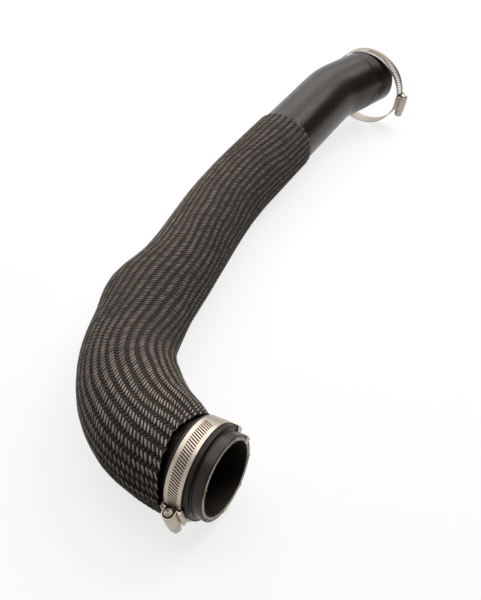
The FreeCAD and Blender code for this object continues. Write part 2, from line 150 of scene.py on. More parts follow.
class HoseSizes(bpy.types.PropertyGroup):
    """Sizes of the rubber hose."""

    lower_leg: length("Lower leg", 114.0, "Lower mouth to the elbow's corner")
    body_leg: length("Body leg", 289.6, "Elbow's corner to the slight bend in the body")
    straight_leg: length("Straight leg", 211.1, "Slight bend to the upper bend")
    upper_leg: length("Upper leg", 69.0, "Upper bend to the upper end")
    lower_heading: angle("Lower heading", -90.0, "Heading of the lower leg, from +Y towards +X")
    body_heading: angle("Body heading", -12.2, "Heading of the body leg")
    straight_heading: angle("Straight heading", 0.2, "Heading of the straight leg")
    upper_heading: angle("Upper heading", 14.6, "Heading of the upper leg")
    body_rise: angle("Body rise", -0.4, "Climb of the body leg")
    straight_rise: angle("Straight rise", 5.0, "Climb of the straight leg")
    elbow_radius: length("Elbow radius", 104.0, "Bend radius of the elbow")
    body_radius: length("Body radius", 350.0, "Bend radius of the slight bend")
    upper_radius: length("Upper radius", 51.0, "Bend radius of the upper bend")
    bore_radius: length("Bore radius", 25.5, "Inside radius")
    wall: length("Wall", 4.1, "Thickness of the rubber")
    lip_length: length("Lip length", 8.0, "Lip in front of the lower collar")
    collar_step: length("Collar step", 3.0, "How far the lower collar stands out")
    collar_chamfer: length("Collar chamfer", 0.8, "Bevel of the collar's front edge")
    collar_back: length("Collar back", 28.5, "Mouth to the back of the collar")
    upper_lip_length: length("Upper lip length", 26.0, "Smooth lip at the upper end")
    upper_lip_step: length("Upper lip step", 0.3, "Step down to the upper lip")
    rim_round: length("Rim rounding", 0.8, "Radius of the mouths' outer edges")
    cut_width: length("Cut width", 2.3, "Pale cut edge round the lower mouth")
    wrap_pitch: length("Wrap pitch", 3.6, "Spacing of the wrapping-cloth lines on the bare rubber")
    wrap_fade: length("Wrap fade", 600.0, "Where the wrap lines run out, from the lower mouth")
    around: count("Around", 112, "Faces round the hose")


class SleeveSizes(bpy.types.PropertyGroup):
    """Sizes of the knitted sleeve."""

    ribs: count("Ribs", 34, "Lengthwise ribs round the sleeve")
    rib_depth: length("Rib depth", 0.9, "Depth of the valleys between ribs")
    thickness: length("Thickness", 1.2, "Thickness of the cloth at a rib")
    gap: length("Gap", 0.4, "Gap between the rubber and the cloth where it is tight")
    first: length("Lower edge", 29.7, "Mouth to the sleeve's lower edge")
    bare_length: length("Bare length", 172.5, "Bare rubber at the upper end")
    drawn_back: length("Drawn back", 2.0, "How far the lower edge is drawn back on top")
    drawn_down: length("Drawn down", 4.0, "How far the lower edge reaches towards the clip outside")
    wander: angle("Wander", 10.0, "How far a rib wanders round the hose")
    upright_share: share("Upright share", 0.5, "Share of the slack that stands up")
    stitch_pitch: length("Stitch pitch", 2.8, "Spacing of the stitches along a rib")
    slant: angle("Slant", 50.0, "Lean of a stitch off its rib")
    stitch_height: length("Stitch height", 1.1, "Height of a stitch's yarn")
    ragged: length("Ragged", 1.8, "How far the cut edges stray")


class ClipSizes(bpy.types.PropertyGroup):
    """Sizes of the worm-drive clips and of the loose fibres at the mouth."""

    edge_round: length("Edge rounding", 0.22, "Softened edges of the pressed steel")
    screw_diameter: length("Screw diameter", 7.0, "Over the worm's thread")
    thread_pitch: length("Thread pitch", 1.85, "Pitch of the worm")
    thread_depth: length("Thread depth", 0.7, "Depth of the worm's thread")
    housing_length: length("Housing length", 15.5, "Length of the pressed tunnel")
    nose: length("Nose", 0.6, "How far the screw's nose stands out")
    flange_diameter: length("Flange diameter", 8.8, "Washer face behind the hex")
    flange_length: length("Flange length", 1.0, "Thickness of the washer face")
    running_gap: length("Running gap", 0.15, "Clearance behind the flange")
    hex_across: length("Hex across flats", 7.0, "Size of the hex head")
    hex_length: length("Hex length", 7.0, "Length of the hex head")
    head_slot: length("Head slot", 1.2, "Width and depth of the screwdriver slot")
    upper_ring_heading: angle("Loose ring heading", 4.5, "Heading of the loose clip's ring axis")
    upper_ring_lean: angle("Loose ring lean", 0.5, "Climb of the loose clip's ring axis")
    fibre_length: length("Fibre length", 4.2, "Length of a cut reinforcing fibre")
    fibre_width: length("Fibre width", 0.44, "Thickness of a cut reinforcing fibre")
    fibres: count("Fibres", 20, "Fibres in a tuft")


class Finishes(bpy.types.PropertyGroup):
    """Colours of the surfaces, linear."""

    wrapped_rubber: colour("Wrapped rubber", 0.0070, 0.0057, 0.0047, "Bare rubber with wrap lines")
    lip_rubber: colour("Lip rubber", 0.012, 0.0102, 0.0085, "Lip of the lower mouth, and the bore")
    collar_rubber: colour("Collar rubber", 0.0055, 0.005, 0.005, "Collar under the lower clip, and the upper lip")
    light_yarn: colour("Light yarn", 0.46, 0.41, 0.345, "Worn face of a stitch")
    dark_yarn: colour("Dark yarn", 0.115, 0.098, 0.082, "Shaded face of a stitch")
    cloth: colour("Cloth", 0.027, 0.0225, 0.019, "Ground between the ribs")
    steel: colour("Steel", 0.49, 0.42, 0.35, "Stainless steel of the tight clip")
    # Painted shade: the loose clip is the same stainless steel, painted darker for its darker reflections.
    shaded_loose_steel: colour("Loose steel", 0.40, 0.35, 0.30, "Stainless steel of the loose clip")
    cut_rim: colour("Cut rim", 0.62, 0.56, 0.49, "Bare cut face of the lower mouth")
    dark_room: colour("Dark room", 0.13, 0.095, 0.07, "What gloss and metal see of the room to the right")
    fibre: colour("Fibre", 0.86, 0.76, 0.42, "Cut reinforcing fibre at the mouth")
    floor: colour("Floor", 0.97, 0.97, 0.97, "Plain pale floor")


class StageSizes(bpy.types.PropertyGroup):
    """Camera, lamps and floor."""

    camera_place: FloatVectorProperty(name="Camera place", description="Where the camera stands", size=3,
                                      default=(0.2000, -0.3155, 0.4409), subtype="TRANSLATION", unit="LENGTH")
    camera_view: FloatVectorProperty(name="Camera view", description="Direction the camera looks in", size=3,
                                     default=(-0.4031, 0.6708, -0.6225), subtype="DIRECTION")
    focal_length: FloatProperty(name="Focal length", description="Lens for a 36 mm sensor, in mm",
                                default=54.0, unit="CAMERA")
    floor_drop: length("Floor drop", 0.3, "Gap below the lowest point")
    overhead_power: power("Overhead lamp", 24.0, "Power of the overhead lamp, in watts")
    back_power: power("Back lamp", 5.0, "Power of the back lamp, in watts")
    sky: share("Sky", 0.13, "Even light from all round")
    floor_glow: share("Floor glow", 0.78, "Share of plain white in the floor where it is looked at")


class Wire:
    """An output socket that takes arithmetic and adds the nodes for it."""

    def __init__(self, graph, socket):
        self.graph, self.socket = graph, socket

    def maths(self, operation, *others):
        values = dict(enumerate((self, *others)))
        return self.graph.wire("ShaderNodeMath", {"operation": operation}, values)

    def vector(self, operation, other=None, output=0):
        values = {0: self} if other is None else {0: self, 1: other}
        return self.graph.wire("ShaderNodeVectorMath", {"operation": operation}, values, output)

    def parts(self):
        return self.graph.wires("ShaderNodeSeparateXYZ", {}, {0: self}, "X", "Y", "Z")

    def __add__(self, other):
        return self.graph.sum("ADD", self, other)

    def __radd__(self, other):
        return self.graph.sum("ADD", other, self)

    def __sub__(self, other):
        return self.graph.sum("SUBTRACT", self, other)

    def __rsub__(self, other):
        return self.graph.sum("SUBTRACT", other, self)

    def __mul__(self, other):
        return self.graph.sum("MULTIPLY", self, other)

    def __rmul__(self, other):
        return self.graph.sum("MULTIPLY", other, self)

    def __truediv__(self, other):
        return self.graph.sum("DIVIDE", self, other)

    def __rtruediv__(self, other):
        return self.graph.sum("DIVIDE", other, self)


def is_vector(value):
    if isinstance(value, Wire):
        return value.socket.type in ("VECTOR", "RGBA")
    return isinstance(value, (tuple, Vector))


def opaque(rgb, level=1.0):
    return (rgb[0] * level, rgb[1] * level, rgb[2] * level, 1.0)


class Graph:
    """A node tree being wired, of a material or of a geometry modifier."""

    def __init__(self, tree):
        self.tree = tree

    def feed(self, socket, value):
        if isinstance(value, Wire):
            self.tree.links.new(value.socket, socket)
        else:
            socket.default_value = value

    def node(self, kind, settings, sockets):
        made = self.tree.nodes.new(kind)
        for key, value in settings.items():
            setattr(made, key, value)
        for key, value in sockets.items():
            self.feed(made.inputs[key], value)
        return made

    def wires(self, kind, settings, sockets, *outputs):
        made = self.node(kind, settings, sockets)
        return [Wire(self, made.outputs[output]) for output in outputs]

    def wire(self, kind, settings, sockets, output=0):
        return self.wires(kind, settings, sockets, output)[0]

    def sum(self, operation, first, second):
        if not is_vector(first) and not is_vector(second):
            return self.wire("ShaderNodeMath", {"operation": operation}, {0: first, 1: second})
        if operation == "MULTIPLY" and is_vector(first) != is_vector(second):
            vector, scale = (first, second) if is_vector(first) else (second, first)
            return self.wire("ShaderNodeVectorMath", {"operation": "SCALE"}, {0: vector, "Scale": scale})
        return self.wire("ShaderNodeVectorMath", {"operation": operation}, {0: first, 1: second})

    def vector(self, x, y, z):
        return self.wire("ShaderNodeCombineXYZ", {}, {"X": x, "Y": y, "Z": z})

    def noise(self, vector, scale, detail=2.0, roughness=0.5):
        return self.wire("ShaderNodeTexNoise", {}, {
            "Vector": vector, "Scale": scale, "Detail": detail, "Roughness": roughness})

    def span(self, value, low, high, to_low=0.0, to_high=1.0, kind="LINEAR"):
        return self.wire("ShaderNodeMapRange", {"interpolation_type": kind}, {
            "Value": value, "From Min": low, "From Max": high, "To Min": to_low, "To Max": to_high})

    def patches(self, vector, scale, low, high, detail=4.0, roughness=0.6):
        return self.span(self.noise(vector, scale, detail, roughness), low, high)

    def mix_colour(self, factor, first, second):
        settings = {"data_type": "RGBA", "clamp_factor": True}
        return self.wire("ShaderNodeMix", settings, {0: factor, 6: first, 7: second}, 2)

    def shades(self, factor, rgb, first, second):
        return self.mix_colour(factor, opaque(rgb, first), opaque(rgb, second))


def new_material(name, constants):
    """A material with its shader's plain values set, and the graph to wire the rest."""
    material = bpy.data.materials.new(name)
    material.use_nodes = True
    for key, value in constants.items():
        material.node_tree.nodes["Principled BSDF"].inputs[key].default_value = value
    return material, Graph(material.node_tree)


def finish(graph, base, roughness, relief=None, depth=0.0):
    """Wires a material's colour, roughness and fine relief."""
    sockets = graph.tree.nodes["Principled BSDF"].inputs
    graph.feed(sockets["Base Color"], base)
    graph.feed(sockets["Roughness"], roughness)
    if relief is not None:
        graph.feed(sockets["Normal"], graph.wire("ShaderNodeBump", {}, {
            "Height": relief, "Distance": depth, "Strength": 1.0}))


def object_place(graph):
    return graph.wire("ShaderNodeTexCoord", {}, {}, "Object")


def surface_map(graph, name):
    return graph.wire("ShaderNodeUVMap", {"uv_map": name}, {}).parts()


def own_tone(graph):
    return graph.wire("ShaderNodeAttribute", {"attribute_name": "tone"}, {}, "Fac")


def wrapped_rubber_material(sizes, finishes):
    """Bare rubber cured in a cloth wrap: fine rings round the hose with painted shade in their grooves, a dusty
    bloom and a faint grain.
    """
    material, graph = new_material("wrapped_rubber", {
        "Specular IOR Level": 0.36, "Specular Tint": WARM, **FUZZ, "Sheen Weight": 0.08})
    along, place = surface_map(graph, "hose")[1], object_place(graph)
    drift = graph.noise(place, 45.0) * 1.2
    rings = (along * (FULL_TURN / sizes.wrap_pitch) + drift).maths("SINE")
    worn = graph.span(along, sizes.wrap_fade - WRAP_RUN_OUT * MM, sizes.wrap_fade, 1.0, 0.2, "SMOOTHSTEP")
    grain = graph.noise(place, 900.0, 3.0)
    bloom = graph.patches(place, 26.0, 0.35, 0.7)
    # Painted shade: the colour darkens in the rings' troughs, where the relief is lowest.
    groove_shade = graph.span(rings, -1.0, 0.2, 0.6, 0.0) * worn
    dusty = graph.shades(bloom * 0.7, finishes.wrapped_rubber, 1.0, 1.7)
    groove_shaded = graph.mix_colour(groove_shade, dusty, opaque(finishes.wrapped_rubber, 0.55))
    finish(graph, groove_shaded, 0.22 + bloom * 0.08 + grain * 0.04, rings * worn * 0.7 + grain * 0.3, 0.09 * MM)
    return material


def smooth_rubber_material(name, rgb, roughness, scuff_and_highlight):
    """Moulded rubber with pale patches that lift the colour and dull the gloss: partly scuffs, partly painted
    highlights.
    """
    material, graph = new_material(name, {"Specular IOR Level": 0.35, "Specular Tint": WARM})
    place = object_place(graph)
    cloud = graph.patches(place, 60.0, 0.35, 0.75, 5.0, 0.65)
    fine = graph.noise(place, 700.0, 2.0)
    # Partly painted highlight: the pale patches lift the base colour, as scuffs and as highlights in one.
    finish(graph, graph.shades(cloud * scuff_and_highlight, rgb, 1.0, 3.5), roughness + cloud * 0.2, fine, 0.04 * MM)
    return material


def cloth_material(finishes):
    """Ground of the sleeve: dark knitted loops seen between the ribs' stitches."""
    material, graph = new_material("sleeve_cloth", {"Specular IOR Level": 0.1, **FUZZ})
    turn, row, _ = surface_map(graph, "knit")
    loops = (row * FULL_TURN + (turn * FULL_TURN).maths("SINE") * 2.2).maths("SINE")
    threads = (turn * (FULL_TURN * 5)).maths("SINE")
    fuzz = graph.noise(object_place(graph), 1400.0, 3.0)
    weave = loops * 0.35 + threads * 0.2 + fuzz * 0.6
    base = graph.shades(graph.span(weave, 0.0, 0.9), finishes.cloth, 0.7, 2.0)
    finish(graph, base, 0.75 + fuzz * 0.2, weave, 0.3 * MM)
    return material


def yarn_material(name, light, dark):
    """Polyester yarn: each stitch has its own tone, which also carries painted light and shade by side, with fine
    filaments and dust.
    """
    material, graph = new_material(name, {"Specular IOR Level": 0.15, **FUZZ})
    place = object_place(graph)
    dust = graph.patches(place, 35.0, 0.3, 0.7)
    filaments = graph.noise(place, 2600.0, 2.0)
    paleness = own_tone(graph) * 0.55 + dust * 0.3 + filaments * 0.2
    base = graph.mix_colour(paleness, opaque(dark), opaque(light))
    finish(graph, base, 0.5 + filaments * 0.3, filaments, 0.12 * MM)
    return material


def steel_material(name, rgb, axis):
    """Brushed stainless strip, with streaks that run round a ring about the axis."""
    material, graph = new_material(name, {"Metallic": 1.0})
    place = object_place(graph)
    across = place.vector("DOT_PRODUCT", tuple(axis), 1)
    drift = graph.noise(place, 90.0, 2.0)
    streaks = graph.noise(graph.vector(across, drift * (0.8 * MM), 0.0), 5200.0, 3.0, 0.6)
    stain = graph.patches(place, 130.0, 0.4, 0.8)
    base = graph.shades(streaks * 0.35 + stain * 0.35, rgb, 1.12, 0.7)
    finish(graph, base, 0.30 + streaks * 0.14 + stain * 0.12, streaks, 0.03 * MM)
    return material


def fibre_material(finishes):
    material, graph = new_material("cut_fibre", {"Specular IOR Level": 0.4})
    tone = own_tone(graph)
    finish(graph, graph.shades(tone, finishes.fibre, 0.6, 1.1), 0.4 + tone * 0.2)
    return material


def looked_at(graph):
    """1 on rays from the camera, from gloss and through glass, and 0 on the light's own; and 1 on gloss's rays."""
    camera, gloss, glass = graph.wires("ShaderNodeLightPath", {}, {}, "Is Camera Ray", "Is Glossy Ray",
                                       "Is Transmission Ray")
    return camera.maths("MAXIMUM", gloss).maths("MAXIMUM", glass), gloss


def floor_material(sizes, finishes):
    """Pale floor that keeps a soft shadow and runs out to white."""
    material, graph = new_material("pale_floor", {"Specular IOR Level": 0.0})
    seen, gloss = looked_at(graph)
    place = object_place(graph)
    finish(graph, graph.shades(seen, finishes.floor, FLOOR_BOUNCE, 1.0), 0.9)
    sideways = place.vector("DOT_PRODUCT", DARK_SIDE, 1)
    unlit = graph.span(sideways, *FLOOR_DUSK, kind="SMOOTHSTEP") * gloss
    glow = graph.wire("ShaderNodeEmission", {}, {
        "Color": graph.mix_colour(unlit, WHITE, opaque(finishes.dark_room)), "Strength": 1.0})
    distance = (place - FLOOR_MIDDLE).vector("LENGTH", output=1)
    white = graph.span(distance, *FLOOR_FADE, sizes.floor_glow, 1.0, "SMOOTHSTEP")
    nodes = graph.tree.nodes
    mixed = graph.wire("ShaderNodeMixShader", {}, {
        0: seen * white, 1: Wire(graph, nodes["Principled BSDF"].outputs["BSDF"]), 2: glow})
    graph.feed(nodes["Material Output"].inputs["Surface"], mixed)
    return material


def leg_end(start, size, heading, rise):
    level = Vector((math.sin(heading), math.cos(heading), 0.0)) * (size * math.cos(rise))
    return start + level + Vector(UPWARD) * (size * math.sin(rise))


def corners(sizes):
    points = [Vector((0.0, 0.0, 0.0))]
    for size, heading, rise in (
            (sizes.lower_leg, sizes.lower_heading, 0.0), (sizes.body_leg, sizes.body_heading, sizes.body_rise),
            (sizes.straight_leg, sizes.straight_heading, sizes.straight_rise),
            (sizes.upper_leg, sizes.upper_heading, 0.0)):
        points.append(leg_end(points[-1], size, heading, rise))
    return points


def bend_points(start, heading, leaving, radius, step):
    """Points round one moulded bend, from where it leaves a straight leg."""
    swing = heading.angle(leaving)
    normal = (leaving - heading * heading.dot(leaving)).normalized()
    pieces = max(2, round(radius * swing / step))
    return [start + heading * (radius * math.sin(swing * index / pieces))
            + normal * (radius * (1 - math.cos(swing * index / pieces))) for index in range(pieces + 1)]


def eased(points, half):
    """Even points with the start and end of each bend eased, by a mean over neighbours."""
    before = points[0] - np.arange(half, 0, -1)[:, None] * (points[1] - points[0])
    after = points[-1] + np.arange(1, half + 1)[:, None] * (points[-1] - points[-2])
    padded = np.concatenate([before, points, after])
    weights = np.ones(2 * half + 1) / (2 * half + 1)
    return np.column_stack([np.convolve(padded[:, axis], weights, "valid") for axis in range(3)])


def sampled(rows, reach, wanted):
    """Points or directions along a line, read at the wanted distances."""
    return np.column_stack([np.interp(wanted, reach, rows[:, axis]) for axis in range(3)])


def moulded_line(sizes, step=1.0 * MM):
    """Even points along the hose's centreline, and the distance of each from the lower mouth."""
    points = corners(sizes)
    line, heading = [points[0]], (points[1] - points[0]).normalized()
    radii = (sizes.elbow_radius, sizes.body_radius, sizes.upper_radius)
    for corner, following, radius in zip(points[1:], points[2:], radii):
        leaving = (following - corner).normalized()
        setback = radius * math.tan(heading.angle(leaving) / 2)
        line += bend_points(corner - heading * setback, heading, leaving, radius, step)
        heading = leaving
    line.append(points[-1])
    rough = np.array(line)
    reach = np.concatenate([[0.0], np.cumsum(np.linalg.norm(np.diff(rough, axis=0), axis=1))])
    places = np.linspace(0.0, reach[-1], round(reach[-1] / step) + 1)
    return eased(sampled(rough, reach, places), round(EASE * MM / step)), places


def units(rows):
    return rows / np.linalg.norm(rows, axis=1, keepdims=True)


def frames_at(line, places, distances):
    """Centres, outward and upright directions at distances along the line."""
    headings = units(sampled(np.gradient(line, places, axis=0), places, distances))
    outward = units(np.cross(np.array(UPWARD), headings))
    return sampled(line, places, distances), outward, np.cross(headings, outward)


def ring_mesh(name, rings, closed, distances):
    """Quads over rings of points, mapped by turn and distance; a closed one joins its last ring to its first."""
    rows, columns = rings.shape[:2]
    spans = rows if closed else rows - 1
    row, column = np.meshgrid(np.arange(spans), np.arange(columns), indexing="ij")
    below, beside = (row + 1) % rows, (column + 1) % columns
    quads = np.stack([row * columns + column, row * columns + beside,
                      below * columns + beside, below * columns + column], axis=-1).reshape(-1, 4)
    mesh = bpy.data.meshes.new(name)
    mesh.from_pydata(rings.reshape(-1, 3).tolist(), [], quads.tolist())
    turns = np.stack([column, column + 1, column + 1, column], axis=-1) / columns
    reach = np.stack([distances[row], distances[row], distances[below], distances[below]], axis=-1)
    layer = mesh.uv_layers.new(name="hose")
    layer.data.foreach_set("uv", np.stack([turns, reach], axis=-1).astype(np.float32).ravel())
    mesh.shade_smooth()
    mesh.update()
    return mesh


def add_object(name, data):
    item = bpy.data.objects.new(name, data)
    bpy.context.scene.collection.objects.link(item)
    return item


def show(name, mesh, materials, body, replaced=()):
    """Puts a finished mesh in the scene on its body, with its materials, and hides the parts it replaces."""
    piece = add_object(name, mesh)
    mesh.materials.clear()
    for material in materials:
        mesh.materials.append(material)
    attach(piece, body)
    if replaced:
        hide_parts(*replaced)


def arc_rows(centre, middle, size, first, last, steps=5):
    """Rows of (distance, radius) round an edge in the hose's section."""
    turns = np.linspace(math.radians(first), math.radians(last), steps)
    return [(centre + size * math.cos(turn), middle + size * math.sin(turn)) for turn in turns]


def level_rows(first, last, steps, radius):
    return [(place, radius) for place in np.linspace(first, last, steps)]


def lower_end_rows(sizes, outer):
    """Section of the lower mouth, lip and collar: (distance, radius) rows with their zones."""
    soft, chamfer = sizes.rim_round, sizes.collar_chamfer
    front, back, collar = sizes.lip_length, sizes.collar_back, outer + sizes.collar_step
    fillet, near, slope = 0.6 * MM, 0.15 * MM, 1.5 * MM
    lip = arc_rows(soft, outer - soft, soft, 180, 90)
    lip += level_rows(soft + near, front - fillet - near, 7, outer)
    lip += arc_rows(front - fillet, outer + fillet, fillet, 270, 360)
    rise = [(front, collar - chamfer - 2 * near)]
    rise += arc_rows(front + chamfer, collar - chamfer, chamfer, 180, 90)
    rise += level_rows(front + chamfer + near, back - slope - 0.2 * MM, 10, collar)
    rise += [(back - slope, collar - near), (back, outer)]
    return [(row, LIP) for row in lip] + [(row, COLLAR) for row in rise]


def upper_end_rows(sizes, outer, end):
    """Section of the upper end, from the bare rubber over the fine step to the rim."""
    drop, soft = sizes.upper_lip_step, sizes.rim_round
    lip, edge = outer - drop, end - sizes.upper_lip_length
    rows = [(edge + away * MM, outer - sunk * drop) for away, sunk in (
        (-1.2, 0.0), (-0.5, 0.15), (0.0, 0.5), (0.5, 0.85), (1.2, 1.0))]
    rows += level_rows(edge + 2 * MM, end - 1.2 * soft, 9, lip)
    rows += arc_rows(end - soft, lip - soft, soft, 90, 0)
    return [(row, UPPER_LIP) for row in rows]


def hose_rows(sizes, end):
    """The hose's whole section as rows with zones, out along the outside and back through the bore."""
    bore, outer = sizes.bore_radius, sizes.bore_radius + sizes.wall
    soft, step, bore_step = 0.5 * MM, 1.5 * MM, 2.5 * MM
    rows = lower_end_rows(sizes, outer)
    plain = np.arange(sizes.collar_back + step, end - sizes.upper_lip_length - 2 * MM, step)
    rows += [((place, outer), WRAPPED) for place in plain]
    rows += upper_end_rows(sizes, outer, end)
    inside = arc_rows(end - soft, bore + soft, soft, 360, 270, 4)
    inside += [(place, bore) for place in np.arange(end - 1 * MM, 1 * MM, -bore_step)]
    inside += arc_rows(soft, bore + soft, soft, 270, 180, 4)
    rows += [(row, BORE) for row in inside[:-1]]
    return rows + [(inside[-1], CUT_RIM), ((0.0, bore + sizes.cut_width), LIP)]


def make_hose(sizes, finishes):
    line, places = moulded_line(sizes)
    section, zones = zip(*hose_rows(sizes, places[-1]))
    distances, radii = np.array(section).T
    centres, outward, upright = frames_at(line, places, distances)
    turns = np.linspace(0.0, FULL_TURN, sizes.around, endpoint=False)
    spokes = outward[:, None] * np.cos(turns)[None, :, None] + upright[:, None] * np.sin(turns)[None, :, None]
    rings = centres[:, None] + spokes * radii[:, None, None]
    mesh = ring_mesh("rubber_hose", rings, True, distances)
    materials = [wrapped_rubber_material(sizes, finishes)]
    # The last value is each finish's pale patches: partly scuffs, partly painted highlights.
    for name, rgb, roughness, scuff_and_highlight in (
            ("lip_rubber", finishes.lip_rubber, 0.24, 0.65), ("collar_rubber", finishes.collar_rubber, 0.42, 0.3),
            ("bore_rubber", finishes.lip_rubber, 0.55, 0.2), ("cut_rim_rubber", finishes.cut_rim, 0.6, 0.5),
            ("upper_lip_rubber", finishes.collar_rubber, 0.18, 0.15)):
        materials.append(smooth_rubber_material(name, rgb, roughness, scuff_and_highlight))
    show("rubber_hose", mesh, materials, "hose", HOSE_NODES)
    mesh.polygons.foreach_set("material_index", np.repeat(zones, sizes.around).astype(np.int32))
    mesh.update()


def new_geometry_tree(name, **inputs):
    """A geometry tree with named inputs of each kind, its graph, and the inputs' wires and identifiers."""
    tree = bpy.data.node_groups.new(name, "GeometryNodeTree")
    add_socket = tree.interface.new_socket
    for way in ("INPUT", "OUTPUT"):
        add_socket("Geometry", in_out=way, socket_type="NodeSocketGeometry")
    identifiers = {label: add_socket(label, in_out="INPUT", socket_type="NodeSocket" + kind).identifier
                   for kind, labels in inputs.items() for label in labels}
    graph = Graph(tree)
    entry = graph.node("NodeGroupInput", {}, {})
    wires = {socket.name: Wire(graph, socket) for socket in entry.outputs if socket.name}
    return tree, graph, wires, identifiers


def end_tree(graph, geometry, material):
    """Closes a tree: real geometry, smooth faces and its material."""
    solid = graph.wire("GeometryNodeRealizeInstances", {}, {"Geometry": geometry})
    smooth = graph.wire("GeometryNodeSetShadeSmooth", {}, {"Geometry": solid})
    painted = graph.wire("GeometryNodeSetMaterial", {}, {"Geometry": smooth, "Material": material})
    graph.node("NodeGroupOutput", {}, {"Geometry": painted})


def stored(graph, geometry, name, value, kind, domain):
    """Geometry with a named value on it."""
    return graph.wire("GeometryNodeStoreNamedAttribute", {"data_type": kind, "domain": domain}, {
        "Geometry": geometry, "Name": name, "Value": value})


def random_parts(graph, seed):
    """Three random numbers from 0 to 1 for each point."""
    return graph.wire("FunctionNodeRandomValue", {"data_type": "FLOAT_VECTOR"}, {"Seed": seed}).parts()


def end_in_strands(graph, points, strand, normal, size, faces, tone, material):
    """Closes a tree with a thin spindle on each point, turned along its strand, with its own tone."""
    rotation = graph.wire("FunctionNodeAxesToRotation", {"primary_axis": "Z", "secondary_axis": "X"}, {
        "Primary Axis": strand, "Secondary Axis": normal})
    segments, rings = faces
    spindle = graph.wire("GeometryNodeMeshUVSphere", {}, {"Segments": segments, "Rings": rings, "Radius": 0.5})
    placed = graph.wire("GeometryNodeInstanceOnPoints", {}, {
        "Points": points, "Instance": spindle, "Rotation": rotation, "Scale": size})
    end_tree(graph, stored(graph, placed, "tone", tone, "FLOAT", "INSTANCE"), material)


def evaluated_mesh(item):
    return bpy.data.meshes.new_from_object(item.evaluated_get(bpy.context.evaluated_depsgraph_get()))


def grown_mesh(name, tree, identifiers, values, base):
    """Runs a geometry tree on a base mesh and returns the result as a plain mesh."""
    carrier = add_object(name, base)
    modifier = carrier.modifiers.new(name, "NODES")
    modifier.node_group = tree
    for label, value in values.items():
        modifier[identifiers[label]] = value
    mesh = evaluated_mesh(carrier)
    mesh.name = name
    bpy.data.objects.remove(carrier)
    return mesh


def line_base(name, line):
    """The centreline as a mesh of edges, for a tree to follow."""
    mesh = bpy.data.meshes.new(name)
    mesh.from_pydata(line.tolist(), [(index, index + 1) for index in range(len(line) - 1)], [])
    return mesh


def hump_sum(distance, humps, unit=MM):
    """Sum of smooth humps over a distance along the hose."""
    total = 0.0
    for height, place, span in humps:
        offset = (distance - place * MM) / (span * MM)
        total = (offset * offset * -1.0).maths("EXPONENT") * (height * unit) + total
    return total


def facing(swing, degrees):
    """1 on the side at an angle round the hose, and -1 on the opposite one."""
    return (swing - math.radians(degrees)).maths("COSINE")


def ring_noise(graph, turn, distance, wide, long, scale, detail):
    """Noise about 0 that runs round the hose without a seam."""
    swing = turn * FULL_TURN
    place = graph.vector(swing.maths("COSINE") * wide, swing.maths("SINE") * wide, distance * long)
    return graph.noise(place, scale, detail) - 0.5


def rib_swing(graph, sizes, distance, turn):
    """Angle round the hose that a rib has reached at a distance, with its winding and wandering."""
    swing = turn * FULL_TURN
    for degrees, start, end in TWISTS:
        swing = swing + graph.span(distance, start * MM, end * MM, 0.0, math.radians(degrees), "SMOOTHSTEP")
    return swing + ring_noise(graph, turn, distance, 1.0, 16.0, 1.3, 1.0) * sizes.wander


def sleeve_point(graph, curve, sizes, hose, distance, turn, inset):
    """Where the sleeve's surface is, at a distance along the hose, a share of a turn and a depth."""
    centre, heading = graph.wires("GeometryNodeSampleCurve", {"mode": "LENGTH"}, {
        "Curves": curve, "Length": distance}, "Position", "Tangent")
    outward = (heading * -1.0).vector("CROSS_PRODUCT", UPWARD).vector("NORMALIZE")
    upright = heading.vector("CROSS_PRODUCT", outward)
    tight = hose.bore_radius + hose.wall + sizes.gap + sizes.thickness
    slack = hump_sum(distance, WIDTH_HUMPS)
    swing = rib_swing(graph, sizes, distance, turn)
    wide = hump_sum(distance, SHIFT_HUMPS) + (slack + tight - inset) * swing.maths("COSINE")
    tall = (slack * sizes.upright_share + tight - inset) * swing.maths("SINE")
    return centre + outward * wide + upright * tall


def edge_stray(graph, sizes, turn, distance, last):
    """How far the cut edges stray from a straight cut."""
    noise = graph.noise(graph.vector(turn * RAGGED_WAVES, 0.0, 0.0), 1.0, 1.0) - 0.5
    first = sizes.first / MM
    ends = hump_sum(distance, ((1.0, first, RAGGED_SPAN), (1.0, last / MM, RAGGED_SPAN)), 1.0)
    swing = turn * FULL_TURN
    on_top = facing(swing, DRAWN_BACK_SIDE).maths("MAXIMUM", 0.0).maths("POWER", 3.0)
    outside = facing(swing, DRAWN_DOWN_SIDE).maths("MAXIMUM", 0.0).maths("POWER", 2.0)
    slant = on_top * sizes.drawn_back - outside * sizes.drawn_down
    slanted = hump_sum(distance, ((1.0, first, DRAWN_SPAN),), 1.0)
    return noise * ends * (RAGGED_REACH * sizes.ragged) + slant * slanted


def fold_depth(graph, turn, distance):
    """Creases where the slack cloth gathers behind the lower clip and inside the elbow."""
    ripple = ring_noise(graph, turn, distance, 2.6, 22.0, 1.0, 2.0)
    return (ripple * hump_sum(distance, FOLD_HUMPS)).maths("MAXIMUM", FOLD_LIMIT)


def yarn_tone(graph, swing, distance, sheen_stretch_tone):
    """How much lighter or darker the yarn is: where the cloth is stretched, partly as painted sheen, and on the
    sides where light and shade are painted.
    """
    # Partly painted sheen: on the stretched upper left side the rib stitches darken and the valley stitches lighten.
    flat = graph.span(facing(swing, SHEEN_STRETCH_SIDE), 0.3, 0.9, kind="SMOOTHSTEP")
    start, full = SHEEN_STRETCH_SPAN
    total = flat * graph.span(distance, start * MM, full * MM) * sheen_stretch_tone
    # Painted light and shade: lighter on the upper side near the elbow, darker on the right of the body.
    for tone, place, span, degrees in PAINTED_SIDE_TONES:
        side = graph.span(facing(swing, degrees), 0.2, 0.9, kind="SMOOTHSTEP")
        total = side * hump_sum(distance, ((tone, place, span),), 1.0) + total
    return total


